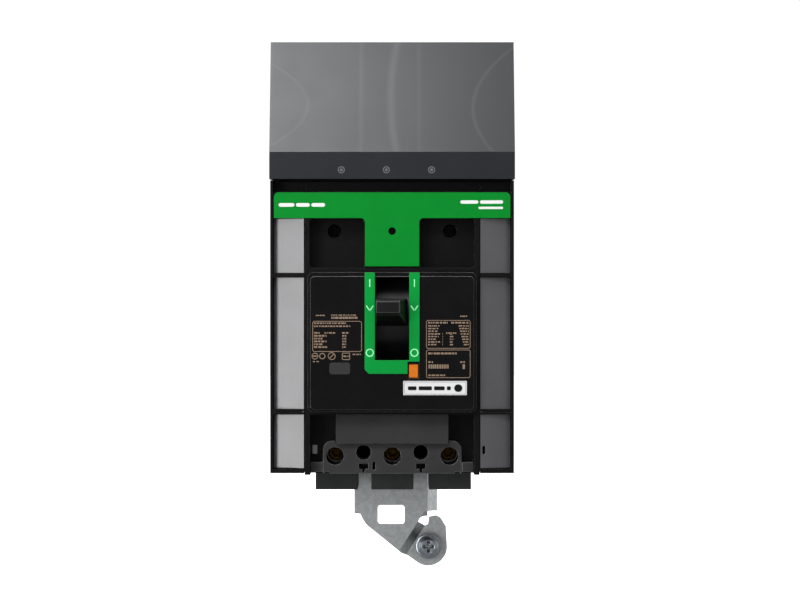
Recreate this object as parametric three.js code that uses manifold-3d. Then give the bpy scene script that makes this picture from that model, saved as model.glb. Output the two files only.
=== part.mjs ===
// Three-pole plug-on molded case breaker, line end up.
// Millimetres. +X right, +Z toward the line end, +Y back into the mounting surface.
// The origin is the middle of the rear mounting face, so the breaker fills y <= 0 and only the tab of the
// bracket reaches behind it.
import * as THREE from 'three';
import { mergeVertices } from 'three/addons/utils/BufferGeometryUtils.js';
import Module from 'manifold-3d';

const wasm = await Module();
wasm.setup();

// ---- driving dimensions -------------------------------------------------
const GAP = 0.3;                    // clearance between neighbouring pieces
const PITCH = 27;                   // pole pitch
const POLES = { a: -PITCH, b: 0, c: PITCH };
const OUTER = 57.15;                // half width over the wings (114.3 overall)
const BODY = 41;                    // half width of the breaker body
const BODY_TOP = 56;                // line end of the body
const BODY_BOTTOM = -82;            // load end of the body
const BACK = -2.8;                  // rear face of the base, on the bracket
const JOINT = -46;                  // plane where base and front cover meet
const FRONT = -84;                  // front plane of the body and wings
const COVER_FRONT = -88;            // face of the raised accessory cover
const CELL = 11.5;                  // half width of a pole cell
const SHEET = 2.5;                  // bracket sheet thickness
const JAW_TOP = 122.3;              // open end of the bus slots
const BUS_Y = [-62, -42, -22];      // centre planes of the three bus slots
const SLOT = 9;                     // bus slot height in y
const PIVOT = { y: -58, z: -8.7 };  // toggle axis
const TOGGLE_REST = 6.6;            // toggle rests in the tripped position, degrees above centre
const SHIELD_R = 25;                // dust shield outer radius
const CROSSBAR = { y: -27, z: -8 }; // contact arm axis
const ARM_OPEN = 28;                // contact arm opening, degrees
const TRIP_BAR = { y: -52, z: -47.5 };
const BUTTON = { x: 10, z: -33.2, half: 2.1, tall: 3.1 };   // half its width and height
const STEM_X = 11;                  // the button's stem passes beside the dust shield
const LUG_SCREW_Z = -73.6;
const LUG_SCREW_R = 3.8;
const MOUNT_X = 13.5;               // lower mounting holes
const MOUNT_Z = -71.9;
const MOUNT_R = 3.15;               // radius of the mounting holes through the body
const POCKET_SCREW = { x: 27.3, z: 32.6, head: 2.9, well: 3.25 };
const PAN_SCREW = { x: 18, z: -123.9 };
const STRAP_Y = -20.5;              // plane of the copper straps down to the fixed contacts
const BAR_HALF = 37.3;              // half length of the cross bar and the trip bar
const poleX = Object.values(POLES);

// ---- solids -------------------------------------------------------------
function solid(geometry) {
  const bare = geometry.index ? geometry.toNonIndexed() : geometry.clone();
  bare.deleteAttribute('normal');
  bare.deleteAttribute('uv');
  const merged = mergeVertices(bare, 1e-4);
  const vertProperties = new Float32Array(merged.attributes.position.array);
  const triVerts = new Uint32Array(merged.index.array);
  return new wasm.Manifold(new wasm.Mesh({ numProp: 3, vertProperties, triVerts }));
}

function box(x0, x1, y0, y1, z0, z1) {
  const geometry = new THREE.BoxGeometry(x1 - x0, y1 - y0, z1 - z0);
  geometry.translate((x0 + x1) / 2, (y0 + y1) / 2, (z0 + z1) / 2);
  return solid(geometry);
}

function toShape(outline) {
  if (outline instanceof THREE.Shape) return outline;
  return new THREE.Shape(outline.map(([a, b]) => new THREE.Vector2(a, b)));
}

function extrude(outline, depth, segments = 4) {
  return new THREE.ExtrudeGeometry(toShape(outline), { depth, bevelEnabled: false, curveSegments: segments });
}

// An (x, z) outline carried from y0 to y1.
function prismY(outline, y0, y1, segments) {
  const geometry = extrude(outline, y1 - y0, segments);
  geometry.rotateX(Math.PI / 2);
  geometry.translate(0, y1, 0);
  return solid(geometry);
}

// A (y, z) outline carried from x0 to x1.
function prismX(outline, x0, x1, segments) {
  const geometry = extrude(outline, x1 - x0, segments);
  const turn = new THREE.Matrix4().makeBasis(
    new THREE.Vector3(0, 1, 0), new THREE.Vector3(0, 0, 1), new THREE.Vector3(1, 0, 0));
  geometry.applyMatrix4(turn);
  geometry.translate(x0, 0, 0);
  return solid(geometry);
}

// An (x, y) outline carried from z0 to z1.
function prismZ(outline, z0, z1, segments) {
  const geometry = extrude(outline, z1 - z0, segments);
  geometry.translate(0, 0, z0);
  return solid(geometry);
}

function rounded(x0, x1, z0, z1, r) {
  const shape = new THREE.Shape();
  shape.moveTo(x0 + r, z0);
  shape.lineTo(x1 - r, z0);
  shape.absarc(x1 - r, z0 + r, r, -Math.PI / 2, 0);
  shape.lineTo(x1, z1 - r);
  shape.absarc(x1 - r, z1 - r, r, 0, Math.PI / 2);
  shape.lineTo(x0 + r, z1);
  shape.absarc(x0 + r, z1 - r, r, Math.PI / 2, Math.PI);
  shape.lineTo(x0, z0 + r);
  shape.absarc(x0 + r, z0 + r, r, Math.PI, Math.PI * 1.5);
  return shape;
}

function rodX(y, z, r, x0, x1, sides = 16) {
  const geometry = new THREE.CylinderGeometry(r, r, x1 - x0, sides);
  geometry.rotateZ(Math.PI / 2);
  geometry.translate((x0 + x1) / 2, y, z);
  return solid(geometry);
}

function rodY(x, z, r, y0, y1, sides = 16) {
  const geometry = new THREE.CylinderGeometry(r, r, y1 - y0, sides);
  geometry.translate(x, (y0 + y1) / 2, z);
  return solid(geometry);
}

function rodZ(x, y, r, z0, z1, sides = 16) {
  const geometry = new THREE.CylinderGeometry(r, r, z1 - z0, sides);
  geometry.rotateX(Math.PI / 2);
  geometry.translate(x, y, (z0 + z1) / 2);
  return solid(geometry);
}

function join(...parts) {
  return parts.reduce((sum, part) => sum.add(part));
}

function cut(body, ...tools) {
  return tools.reduce((rest, tool) => rest.subtract(tool), body);
}

function mirrored(make) {
  return [make(-1), make(1)];
}

// A box given by |x| limits, on the side named by sign.
function sideBox(sign, inner, outer, y0, y1, z0, z1) {
  const [x0, x1] = sign < 0 ? [-outer, -inner] : [inner, outer];
  return box(x0, x1, y0, y1, z0, z1);
}

// ---- materials and scene graph -------------------------------------------
const LOOKS = {
  black: { color: 0x1b1b1c, roughness: 0.45, metalness: 0 },
  grey: { color: 0x8d8f92, roughness: 0.35, metalness: 0 },
  anthracite: { color: 0x33373b, roughness: 0.35, metalness: 0 },
  darkGrey: { color: 0x3c3e40, roughness: 0.5, metalness: 0 },
  green: { color: 0x008a32, roughness: 0.5, metalness: 0 },
  orange: { color: 0xe07d28, roughness: 0.5, metalness: 0 },
  zinc: { color: 0x9aa0a4, roughness: 0.35, metalness: 1 },
  steel: { color: 0x85888a, roughness: 0.4, metalness: 1 },
  copper: { color: 0xb87345, roughness: 0.35, metalness: 1 },
  silver: { color: 0xc9ccce, roughness: 0.3, metalness: 1 },
  brass: { color: 0xb59245, roughness: 0.35, metalness: 1 },
};

const breaker = new THREE.Group();

function piece(name, body, look) {
  const { vertProperties, triVerts, numProp } = body.getMesh();
  const geometry = new THREE.BufferGeometry();
  const positions = new Float32Array((vertProperties.length / numProp) * 3);
  for (let i = 0; i < positions.length / 3; i += 1) {
    positions.set(vertProperties.subarray(i * numProp, i * numProp + 3), i * 3);
  }
  geometry.setAttribute('position', new THREE.BufferAttribute(positions, 3));
  geometry.setIndex(new THREE.BufferAttribute(new Uint32Array(triVerts), 1));
  geometry.computeVertexNormals();
  const mesh = new THREE.Mesh(geometry, new THREE.MeshStandardMaterial(LOOKS[look]));
  mesh.name = name;
  breaker.add(mesh);
  return mesh;
}

// ---- base of the case ------------------------------------------------------
const CELL_BACK = -6;                // rear wall of the contact chambers
const CELL_TOP = 54;
const LUG_CELL = 9.5;               // half width of a lug chamber
const LUG_CELL_BACK = -14;
const LUG_CELL_TOP = -57;

function baseCase() {
  const block = box(-BODY, BODY, JOINT, BACK, BODY_BOTTOM, BODY_TOP);
  const cells = poleX.flatMap((x) => [
    box(x - CELL, x + CELL, JOINT - 1, CELL_BACK, LUG_CELL_TOP - 1, CELL_TOP),
    box(x - LUG_CELL, x + LUG_CELL, JOINT - 1, LUG_CELL_BACK, BODY_BOTTOM - 1, LUG_CELL_TOP),
    box(x - 6.5, x + 6.5, STRAP_Y - 4, STRAP_Y + 3.5, CELL_TOP - 1, BODY_TOP + 1),
  ]);
  const crossbarRoom = box(-BAR_HALF - 0.7, BAR_HALF + 0.7, JOINT - 1, -20, -15, -1);
  const mountHoles = mirrored((s) => rodY(s * MOUNT_X, MOUNT_Z, MOUNT_R, JOINT - 1, LUG_CELL_BACK));
  return cut(block, ...cells, crossbarRoom, ...mountHoles);
}
piece('base_case', baseCase(), 'black');

// ---- front cover -----------------------------------------------------------
const FASCIA_SEAT = -82;
const FASCIA_TOP = 50.4;
const FASCIA_HALF = 55.4;
const STEM_HALF = 12.7;             // half width of the fascia's stem
const BAND_RECESS = -74;            // floor of the recess above the fascia
const POCKET_FLOOR = -74;
const LOAD_RECESS = -70;
const LOAD_RECESS_HALF = 38.5;
const POCKET = { outer: 38.8, bottom: 15, top: 38.1, r: 2 };
const BAY = { half: 37, bottom: -50, top: 11 };
const BAY_FLOOR = -62.5;            // floor of the accessory bay
const ROOM_FRONT = -59;             // front of the rooms for contacts and trip bar
const SHIELD_ROOM_HALF = 9.6;
const STEM_HOLE = { z: 32.3, r: 1.8 };   // for the small screw in the stem of the fascia

function frontCover() {
  const block = box(-BODY, BODY, FRONT, JOINT - GAP, BODY_BOTTOM, BODY_TOP);
  const fasciaSeat = box(-BODY - 1, BODY + 1, FRONT - 1, FASCIA_SEAT, POCKET.top, BODY_TOP + 1);
  const bandRecess = box(-BODY - 1, BODY + 1, FRONT - 1, BAND_RECESS, FASCIA_TOP + 0.4, BODY_TOP + 1);
  const stemSeat = box(-STEM_HALF - 0.25, STEM_HALF + 0.25, FRONT - 1, FASCIA_SEAT, POCKET.bottom, 39);
  const filletSeat = box(-STEM_HALF - 2.5, STEM_HALF + 2.5, FRONT - 1, FASCIA_SEAT, 36, 39);
  const pocketInner = STEM_HALF + 0.2;
  const pockets = [[-POCKET.outer, -pocketInner], [pocketInner, POCKET.outer]].map(([x0, x1]) =>
    prismY(rounded(x0, x1, POCKET.bottom, POCKET.top, POCKET.r), FRONT - 1, POCKET_FLOOR));
  const wells = mirrored((s) => rodY(s * POCKET_SCREW.x, POCKET_SCREW.z, POCKET_SCREW.well,
    POCKET_FLOOR - 1, -60));
  const stemHole = rodY(0, STEM_HOLE.z, STEM_HOLE.r, FRONT, -74, 12);
  const accessoryBay = box(-BAY.half, BAY.half, FRONT - 1, BAY_FLOOR, BAY.bottom, BAY.top);
  const shieldRoom = rodX(PIVOT.y, PIVOT.z, SHIELD_R + 0.9, -SHIELD_ROOM_HALF, SHIELD_ROOM_HALF, 32);
  const mechanismBay = box(-10.6, 10.6, BAY_FLOOR - 1, JOINT, -34, 14);
  const buttonHole = rodY(STEM_X, BUTTON.z, 2.2, BAY_FLOOR - 1, -58, 12);
  const stemRoom = box(STEM_X - 2, STEM_X + 2.5, -59.5, -54, -38, -30);
  const cells = poleX.map((x) => box(x - CELL, x + CELL, ROOM_FRONT, JOINT, BAY.bottom, CELL_TOP));
  const tripBarRoom = box(-BAR_HALF - 0.7, BAR_HALF + 0.7, ROOM_FRONT, JOINT, -56, -39);
  const loadRecess = box(-LOAD_RECESS_HALF, LOAD_RECESS_HALF, FRONT - 1, LOAD_RECESS,
    BODY_BOTTOM - 1, -53.7);
  const lugBores = poleX.map((x) => rodY(x, LUG_SCREW_Z, LUG_SCREW_R + 1.2, LOAD_RECESS - 1, JOINT));
  const mountHoles = mirrored((s) => rodY(s * MOUNT_X, MOUNT_Z, MOUNT_R, LOAD_RECESS - 1, JOINT));
  return cut(block, fasciaSeat, bandRecess, stemSeat, filletSeat, ...pockets, ...wells, stemHole,
    accessoryBay, shieldRoom, mechanismBay, buttonHole, stemRoom, ...cells, tripBarRoom, loadRecess,
    ...lugBores, ...mountHoles);
}
piece('front_cover', frontCover(), 'black');

// Screws at the bottom of the mounting pockets.
mirrored((s) => {
  const x = s * POCKET_SCREW.x;
  const head = rodY(x, POCKET_SCREW.z, POCKET_SCREW.head, -63.5, -60.3);
  const slot = box(x - 2.2, x + 2.2, -64, -62.3, POCKET_SCREW.z - 0.45, POCKET_SCREW.z + 0.45);
  return piece(`pocket_screw_${s < 0 ? 'left' : 'right'}`, cut(head, slot), 'zinc');
});

// ---- accessory cover, escutcheon, fascia -----------------------------------
const TOGGLE_SLOT = { half: 8, top: 10.8, bottom: -28.1 };
const COVER_STEP = 0.4;             // the middle of the accessory cover is raised by this much

function accessoryCover() {
  const plate = prismY(rounded(-39.4, 39.4, -52.3, 12.9, 2.6), COVER_FRONT, FRONT - GAP);
  const raised = prismY(rounded(-38.2, 38.2, -51.2, 11, 2), COVER_FRONT - COVER_STEP, COVER_FRONT + 0.5);
  const slot = box(-TOGGLE_SLOT.half, TOGGLE_SLOT.half, COVER_FRONT - 1, FRONT + 1,
    TOGGLE_SLOT.bottom, TOGGLE_SLOT.top);
  const holeX = BUTTON.half + 0.4;
  const holeZ = BUTTON.tall + 0.4;
  const buttonHole = box(BUTTON.x - holeX, BUTTON.x + holeX, COVER_FRONT - 1, FRONT + 1,
    BUTTON.z - holeZ, BUTTON.z + holeZ);
  return cut(join(plate, raised), slot, buttonHole);
}
piece('accessory_cover', accessoryCover(), 'black');

function escutcheon() {
  const y0 = COVER_FRONT - 1.5;
  const y1 = COVER_FRONT - COVER_STEP - GAP;
  const outer = new THREE.Shape();
  outer.moveTo(-12.8, 12.8);
  outer.lineTo(-12.8, -32.5);
  outer.lineTo(-10.8, -34.5);
  outer.lineTo(7.2, -34.5);
  outer.lineTo(7.2, -28.7);
  outer.lineTo(12.8, -28.7);
  outer.lineTo(12.8, 12.8);
  outer.closePath();
  return cut(prismY(outer, y0, y1), box(-TOGGLE_SLOT.half, TOGGLE_SLOT.half, y0 - 1, y1 + 1,
    TOGGLE_SLOT.bottom, 14));
}
piece('toggle_escutcheon', escutcheon(), 'green');

function fascia() {
  const y0 = FRONT - 0.6;
  const y1 = FASCIA_SEAT - GAP;
  const lower = POCKET.top + GAP;
  const fillet = 2;
  const corner = 2.2;
  const outline = new THREE.Shape();
  outline.moveTo(-STEM_HALF, 15.8);
  outline.lineTo(STEM_HALF, 15.8);
  outline.absarc(STEM_HALF + fillet, lower - fillet, fillet, Math.PI, Math.PI / 2, true);
  outline.lineTo(FASCIA_HALF, lower);
  outline.absarc(FASCIA_HALF - corner, FASCIA_TOP - corner, corner, 0, Math.PI / 2);
  outline.absarc(corner - FASCIA_HALF, FASCIA_TOP - corner, corner, Math.PI / 2, Math.PI);
  outline.lineTo(-FASCIA_HALF, lower);
  outline.absarc(-STEM_HALF - fillet, lower - fillet, fillet, Math.PI / 2, 0, true);
  return cut(prismY(outline, y0, y1), rodY(0, STEM_HOLE.z, STEM_HOLE.r, y0 - 1, y1 + 1, 12));
}
piece('fascia', fascia(), 'green');

piece('fascia_screw', join(
  rodY(0, STEM_HOLE.z, STEM_HOLE.r - GAP, FASCIA_SEAT + 1, -76, 12),
  rodY(0, STEM_HOLE.z, 1.1, -77, -74.5, 12)), 'zinc');

// ---- side wings --------------------------------------------------------------
const WING_INNER = BODY + GAP;
const WING_WALL = 56;               // inner face of the outer wall
const WING_BACK = -12;
const WING_BOTTOM = -81.2;
const FLOOR_INNER_Y = -83.4;        // the floor slopes from here ...
const FLOOR_OUTER_Y = -79.9;        // ... back to here at the outer wall
const FLOOR_SHEET = 2;
const WING_HEAD = 38.6;             // the closed head above the recessed floor starts here
const RIBS = [[10.5, 12.7], [-53.7, -51.1]];
const SIDE_RECESS = 0.3;            // depth of the shallow panel in each outer wall
const SPLIT_LINE = { z: -52.4, half: 0.2, depth: 0.5 };   // groove where two mold halves meet

function wingFrame(s) {
  const wall = sideBox(s, WING_WALL, OUTER, FRONT, WING_BACK, WING_BOTTOM, BODY_TOP);
  const rear = sideBox(s, WING_INNER, OUTER, WING_BACK - 2, WING_BACK, WING_BOTTOM, BODY_TOP);
  const foot = sideBox(s, WING_INNER, OUTER, FRONT, WING_BACK, WING_BOTTOM, WING_BOTTOM + 2);
  const head = sideBox(s, WING_INNER, OUTER, FASCIA_SEAT, WING_BACK, WING_HEAD, BODY_TOP);
  const ribs = RIBS.map(([z0, z1]) => prismZ(
    s > 0
      ? [[WING_INNER, FRONT], [WING_WALL + 1, FRONT], [WING_WALL + 1, FLOOR_OUTER_Y - GAP],
        [WING_INNER, FLOOR_INNER_Y - GAP]]
      : [[-WING_INNER, FRONT], [-WING_INNER, FLOOR_INNER_Y - GAP],
        [-WING_WALL - 1, FLOOR_OUTER_Y - GAP], [-WING_WALL - 1, FRONT]],
    z0, z1));
  const fasciaEnd = sideBox(s, FASCIA_HALF - 1, FASCIA_HALF + 0.05, FRONT - 1, FASCIA_SEAT, POCKET.top,
    BODY_TOP);
  const bandRecess = sideBox(s, WING_INNER - 1, WING_WALL, FRONT - 1, BAND_RECESS, FASCIA_TOP + 0.4,
    BODY_TOP + 1);
  const hollow = sideBox(s, WING_INNER + 2, WING_WALL - 2, -70, WING_BACK - 6, 41, BODY_TOP + 1);
  const splitLine = sideBox(s, WING_INNER - 1, OUTER + 1, FRONT - 1, FRONT + SPLIT_LINE.depth,
    SPLIT_LINE.z - SPLIT_LINE.half, SPLIT_LINE.z + SPLIT_LINE.half);
  const sidePanel = prismX(rounded(-76, -20, -74, 34, 3), s < 0 ? -OUTER - 1 : OUTER - SIDE_RECESS,
    s < 0 ? SIDE_RECESS - OUTER : OUTER + 1);
  return cut(join(wall, rear, foot, head, ...ribs), fasciaEnd, bandRecess, hollow, splitLine, sidePanel);
}

function wingFloor(s) {
  const inner = WING_INNER + 0.1;
  const outer = WING_WALL - GAP;
  const section = [[s * inner, FLOOR_INNER_Y], [s * outer, FLOOR_OUTER_Y],
    [s * outer, FLOOR_OUTER_Y + FLOOR_SHEET], [s * inner, FLOOR_INNER_Y + FLOOR_SHEET]];
  const sheet = prismZ(section, WING_BOTTOM + 2 + GAP, WING_HEAD - GAP);
  const latchSlot = box(42.4, 43.7, FRONT - 1, FRONT + 8, -72.4, -68.6);
  return s > 0 ? cut(sheet, latchSlot) : sheet;
}

mirrored((s) => {
  const side = s < 0 ? 'left' : 'right';
  piece(`wing_${side}`, wingFrame(s), 'black');
  piece(`wing_floor_${side}`, wingFloor(s), 'grey');
});

// ---- plug-on line end -----------------------------------------------------------
const COVER_HALF = 57.6;
const COVER_BAND_TOP = 69.5;
const COVER_BOTTOM = 56.8;
const COVER_SHEET = 2;
const COVER_TOP_Y = -71;            // where the sloped face meets the open end

function plugOnCover() {
  const face = FRONT - 0.5;
  const front = [[face, COVER_BOTTOM], [face, COVER_BAND_TOP], [COVER_TOP_Y, JAW_TOP]];
  const skin = prismX([...front, [COVER_TOP_Y + COVER_SHEET, JAW_TOP], [-80, 68], [-80, COVER_BOTTOM]],
    -COVER_HALF, COVER_HALF);
  const cheek = [...front, [-69.6, JAW_TOP], [-69.6, COVER_BOTTOM]];
  const cheeks = mirrored((s) => prismX(cheek, s < 0 ? -COVER_HALF : COVER_HALF - COVER_SHEET,
    s < 0 ? COVER_SHEET - COVER_HALF : COVER_HALF));
  return join(skin, ...cheeks);
}
piece('plug_on_cover', plugOnCover(), 'anthracite');

function jawHousing() {
  const block = box(-OUTER, OUTER, -69.2, -3, BODY_TOP + GAP, JAW_TOP - 2);
  const slots = BUS_Y.map((y) => box(-OUTER - 1, OUTER + 1, y - SLOT / 2, y + SLOT / 2, 78, JAW_TOP));
  const leadIns = BUS_Y.map((y) => prismX([[y - SLOT / 2 - 2, JAW_TOP], [y - SLOT / 2, JAW_TOP - 6],
    [y + SLOT / 2, JAW_TOP - 6], [y + SLOT / 2 + 2, JAW_TOP]], -OUTER - 1, OUTER + 1));
  const chambers = poleX.map((x) => box(x - 8, x + 8, -66.5, -16, BODY_TOP, 70));
  const passages = poleX.map((x, i) => box(x - 8, x + 8, BUS_Y[i] - SLOT / 2,
    BUS_Y[i] + SLOT / 2, 69, 79));
  return cut(block, ...slots, ...leadIns, ...chambers, ...passages);
}
piece('jaw_housing', jawHousing(), 'black');

// Spring-steel backed copper jaws and the straps that run down to the fixed contacts.
const BLADE = 0.6;
const JAW_GAP = 6.4;                // bus bar thickness taken by the jaw
const JAW_HALF = 7;
const JAW_TIP = 112;
Object.entries(POLES).forEach(([pole, x], i) => {
  const y = BUS_Y[i];
  const inner = JAW_GAP / 2;
  const outer = inner + BLADE;
  const blades = prismX([[y - outer, 75], [y + outer, 75], [y + outer, JAW_TIP], [y + inner, JAW_TIP],
    [y + inner, 77], [y - inner, 77], [y - inner, JAW_TIP], [y - outer, JAW_TIP]],
  x - JAW_HALF, x + JAW_HALF);
  const stub = box(x - 5, x + 5, y - 1.5, y + 1.5, 62, 76);
  const run = box(x - 5, x + 5, Math.min(y, STRAP_Y) - 1.5, Math.max(y, STRAP_Y) + 1.5, 60, 63);
  const drop = box(x - 5, x + 5, STRAP_Y - 1.5, STRAP_Y + 1.5, 22, 62);
  const contact = box(x - 3, x + 3, STRAP_Y - 3.8, STRAP_Y - 1, 26, 33);
  piece(`line_jaw_${pole}`, join(blades, stub, run, drop, contact), 'copper');
});

// ---- load end --------------------------------------------------------------------
const PANEL_BOTTOM = -67.5;
piece('load_end_panel',
  prismY(rounded(-26.4, 26.4, PANEL_BOTTOM, -53.9, 0.8), -80, LOAD_RECESS - GAP), 'darkGrey');

// Plate round the lug screws: shoulders beside the panel, a foot each side, slots right through.
function terminalCover() {
  const y0 = -77;
  const y1 = LOAD_RECESS - GAP;
  const half = 32.6;
  const shoulder = { top: -66.5, inner: 26.8, r: 4.2 };
  const foot = { outer: LOAD_RECESS_HALF - GAP, bottom: -81, top: -76.6 };
  const outline = new THREE.Shape();
  outline.moveTo(-half, -81.8);
  outline.lineTo(half, -81.8);
  outline.absarc(half - shoulder.r, shoulder.top - shoulder.r, shoulder.r, 0, Math.PI / 2);
  outline.lineTo(shoulder.inner, shoulder.top);
  outline.lineTo(shoulder.inner, PANEL_BOTTOM - GAP);
  outline.lineTo(-shoulder.inner, PANEL_BOTTOM - GAP);
  outline.lineTo(-shoulder.inner, shoulder.top);
  outline.absarc(shoulder.r - half, shoulder.top - shoulder.r, shoulder.r, Math.PI / 2, Math.PI);
  const feet = mirrored((s) => sideBox(s, half - 1, foot.outer, y0, y1, foot.bottom, foot.top));
  const grooves = mirrored((s) => sideBox(s, half - 0.1, half + 0.4, y0 - 1, y0 + 0.8, -83, foot.top + 1));
  const notches = mirrored((s) => sideBox(s, 29.4, 32.2, y0 - 1, y1 + 1, -83, -81.1));
  const screwHoles = poleX.map((x) => rodY(x, LUG_SCREW_Z, LUG_SCREW_R + 0.5, y0 - 1, y1 + 1));
  const mountHoles = mirrored((s) => rodY(s * MOUNT_X, MOUNT_Z, MOUNT_R + 0.45, y0 - 1, y1 + 1));
  const tees = mirrored((s) => join(
    box(s * MOUNT_X - 2.25, s * MOUNT_X + 2.25, y0 - 1, y1 + 1, -79.7, -77.2),
    box(s * MOUNT_X - 0.65, s * MOUNT_X + 0.65, y0 - 1, y1 + 1, -82.5, -79)));
  const keySlot = box(-9.4, -7.8, y0 - 1, y1 + 1, -80.1, -76.3);
  return cut(join(prismY(outline, y0, y1), ...feet), ...grooves, ...notches, ...screwHoles, ...mountHoles,
    ...tees, keySlot);
}
piece('terminal_cover', terminalCover(), 'darkGrey');

const CABLE_Y = -31.5;
const LUG = { half: 8, front: -45, back: -24, bottom: -81.5, top: -62 };
const SHROUD = { half: 10.25, front: -47.2, back: -16, bottom: -91.8 };
const SHROUD_SHIFT = { a: 0, b: 0, c: 0.9 };   // the last shroud leans outward
Object.entries(POLES).forEach(([pole, x]) => {
  const shroudX = x + SHROUD_SHIFT[pole];
  piece(`lug_housing_${pole}`, cut(
    box(shroudX - SHROUD.half, shroudX + SHROUD.half, SHROUD.front, SHROUD.back, SHROUD.bottom,
      BODY_BOTTOM - GAP),
    box(x - LUG.half - GAP, shroudX + LUG.half + GAP, LUG.front - GAP, LUG.back + GAP,
      SHROUD.bottom - 1, BODY_BOTTOM)), 'darkGrey');
  piece(`lug_${pole}`, cut(
    box(x - LUG.half, x + LUG.half, LUG.front, LUG.back, LUG.bottom, LUG.top),
    rodZ(x, CABLE_Y, 6, -83, -61),
    rodY(x, LUG_SCREW_Z, LUG_SCREW_R + 0.4, LUG.front - 1, CABLE_Y)), 'silver');
  piece(`lug_screw_${pole}`, cut(
    rodY(x, LUG_SCREW_Z, LUG_SCREW_R, -50, -40, 16),
    rodY(x, LUG_SCREW_Z, 2.1, -51, -46.5, 6)), 'brass');
  piece(`clamp_pad_${pole}`, rodY(x, LUG_SCREW_Z, 3.6, -40 + GAP, -38.2, 12), 'brass');
  piece(`load_strap_${pole}`, join(
    box(x - 6, x + 6, -22.5, -20.5, -80, -34),
    box(x - 6, x + 6, -43.2, -20.5, -36, -34)), 'copper');
  piece(`bimetal_${pole}`, box(x - 5, x + 5, -44.9, -43.5, -57, -33), 'steel');
  piece(`magnet_yoke_${pole}`, join(
    box(x - 9.2, x + 9.2, -19.5, -17.5, -56, -44),
    box(x - 9.2, x - 7.2, -30, -18, -56, -44),
    box(x + 7.2, x + 9.2, -30, -18, -56, -44)), 'steel');
});

// ---- contacts --------------------------------------------------------------------
// Built closed, then swung open with the cross bar.
function swing(body, axis, degrees) {
  const turn = new THREE.Matrix4().makeTranslation(0, axis.y, axis.z)
    .multiply(new THREE.Matrix4().makeRotationX(THREE.MathUtils.degToRad(degrees)))
    .multiply(new THREE.Matrix4().makeTranslation(0, -axis.y, -axis.z));
  return body.transform(turn.elements);
}

const ARM_HALF = 3;
const ARM_FOOT = CROSSBAR.z - 1;
Object.entries(POLES).forEach(([pole, x]) => {
  const profile = [[-28.5, ARM_FOOT], [-25.5, ARM_FOOT], [-25.5, 25], [-24.8, 26], [-24.8, 33],
    [-27, 34], [-28.5, 32]];
  piece(`contact_arm_${pole}`, swing(prismX(profile, x - ARM_HALF, x + ARM_HALF), CROSSBAR, ARM_OPEN),
    'copper');
});

const sockets = poleX.map((x) => box(x - ARM_HALF - GAP, x + ARM_HALF + GAP,
  -28.5 - GAP, -25.5 + GAP, ARM_FOOT - GAP, 0));
const crossbar = cut(rodX(CROSSBAR.y, CROSSBAR.z, 5, -BAR_HALF, BAR_HALF), ...sockets);
piece('crossbar', swing(crossbar, CROSSBAR, ARM_OPEN), 'darkGrey');

// Arc chute: splitter plates between two insulating cards.
const SPLITTERS = 8;
function arcChute(x) {
  const cards = [box(x - 10.8, x - 9.4, -57, -25, 37, 53), box(x + 9.4, x + 10.8, -57, -25, 37, 53)];
  const plates = Array.from({ length: SPLITTERS }, (_, i) => {
    const y = -28 - i * 3.9;
    return prismY([[x - 9.6, 38], [x - 4, 38], [x, 45], [x + 4, 38], [x + 9.6, 38], [x + 9.6, 52],
      [x - 9.6, 52]], y - 1.2, y);
  });
  return join(...cards, ...plates);
}
Object.entries(POLES).forEach(([pole, x]) => piece(`arc_chute_${pole}`, arcChute(x), 'steel'));

// ---- operating mechanism ------------------------------------------------------------
const FRAME_INNER = 9;
const FRAME_OUTER = 10.3;
const AXLE_R = 1.3;                 // pin that the toggle turns on
piece('mechanism_frame', join(
  ...mirrored((s) => sideBox(s, FRAME_INNER, FRAME_OUTER, -61, -36, -28, 10)),
  rodX(-40, -24, 1.5, -FRAME_INNER - 0.5, FRAME_INNER + 0.5, 8),
  rodX(PIVOT.y, PIVOT.z, AXLE_R, -FRAME_INNER - 0.5, FRAME_INNER + 0.5, 10)), 'steel');

// Radial shapes of the toggle are drawn along -Y from the pivot, then turned to the rest angle.
const REACH = 47;                   // toggle tip from its axis
function radial(outline, x0, x1) {
  const placed = outline.map(([r, h]) => [PIVOT.y - r, PIVOT.z + h]);
  return swing(prismX(placed, x0, x1), PIVOT, -TOGGLE_REST);
}

function dustShield() {
  const span = THREE.MathUtils.degToRad(67);
  const arc = new THREE.Shape();
  arc.absarc(PIVOT.y, PIVOT.z, SHIELD_R, Math.PI - span, Math.PI + span, false);
  arc.absarc(PIVOT.y, PIVOT.z, SHIELD_R - 1.6, Math.PI + span, Math.PI - span, true);
  arc.closePath();
  return swing(prismX(arc, -8.4, 8.4, 12), PIVOT, -TOGGLE_REST);
}
piece('dust_shield', dustShield(), 'black');

const LEVER = { left: -7.6, right: 7.2, tipRight: 3.8 };

function toggleHandle() {
  const lever = radial([[SHIELD_R + GAP, -6.5], [SHIELD_R + GAP, 6.5], [REACH - 1, 3.6], [REACH, 2.6],
    [REACH, -2.6], [REACH - 1, -3.6]], LEVER.left, LEVER.right);
  const slant = prismZ([[LEVER.right + GAP, PIVOT.y - SHIELD_R], [LEVER.tipRight, PIVOT.y - REACH],
    [LEVER.tipRight, PIVOT.y - REACH - 1], [LEVER.right + 2, PIVOT.y - REACH - 1],
    [LEVER.right + 2, PIVOT.y - SHIELD_R]], PIVOT.z - 9, PIVOT.z + 9);
  return cut(lever, swing(slant, PIVOT, -TOGGLE_REST));
}
piece('toggle_handle', toggleHandle(), 'black');

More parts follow.
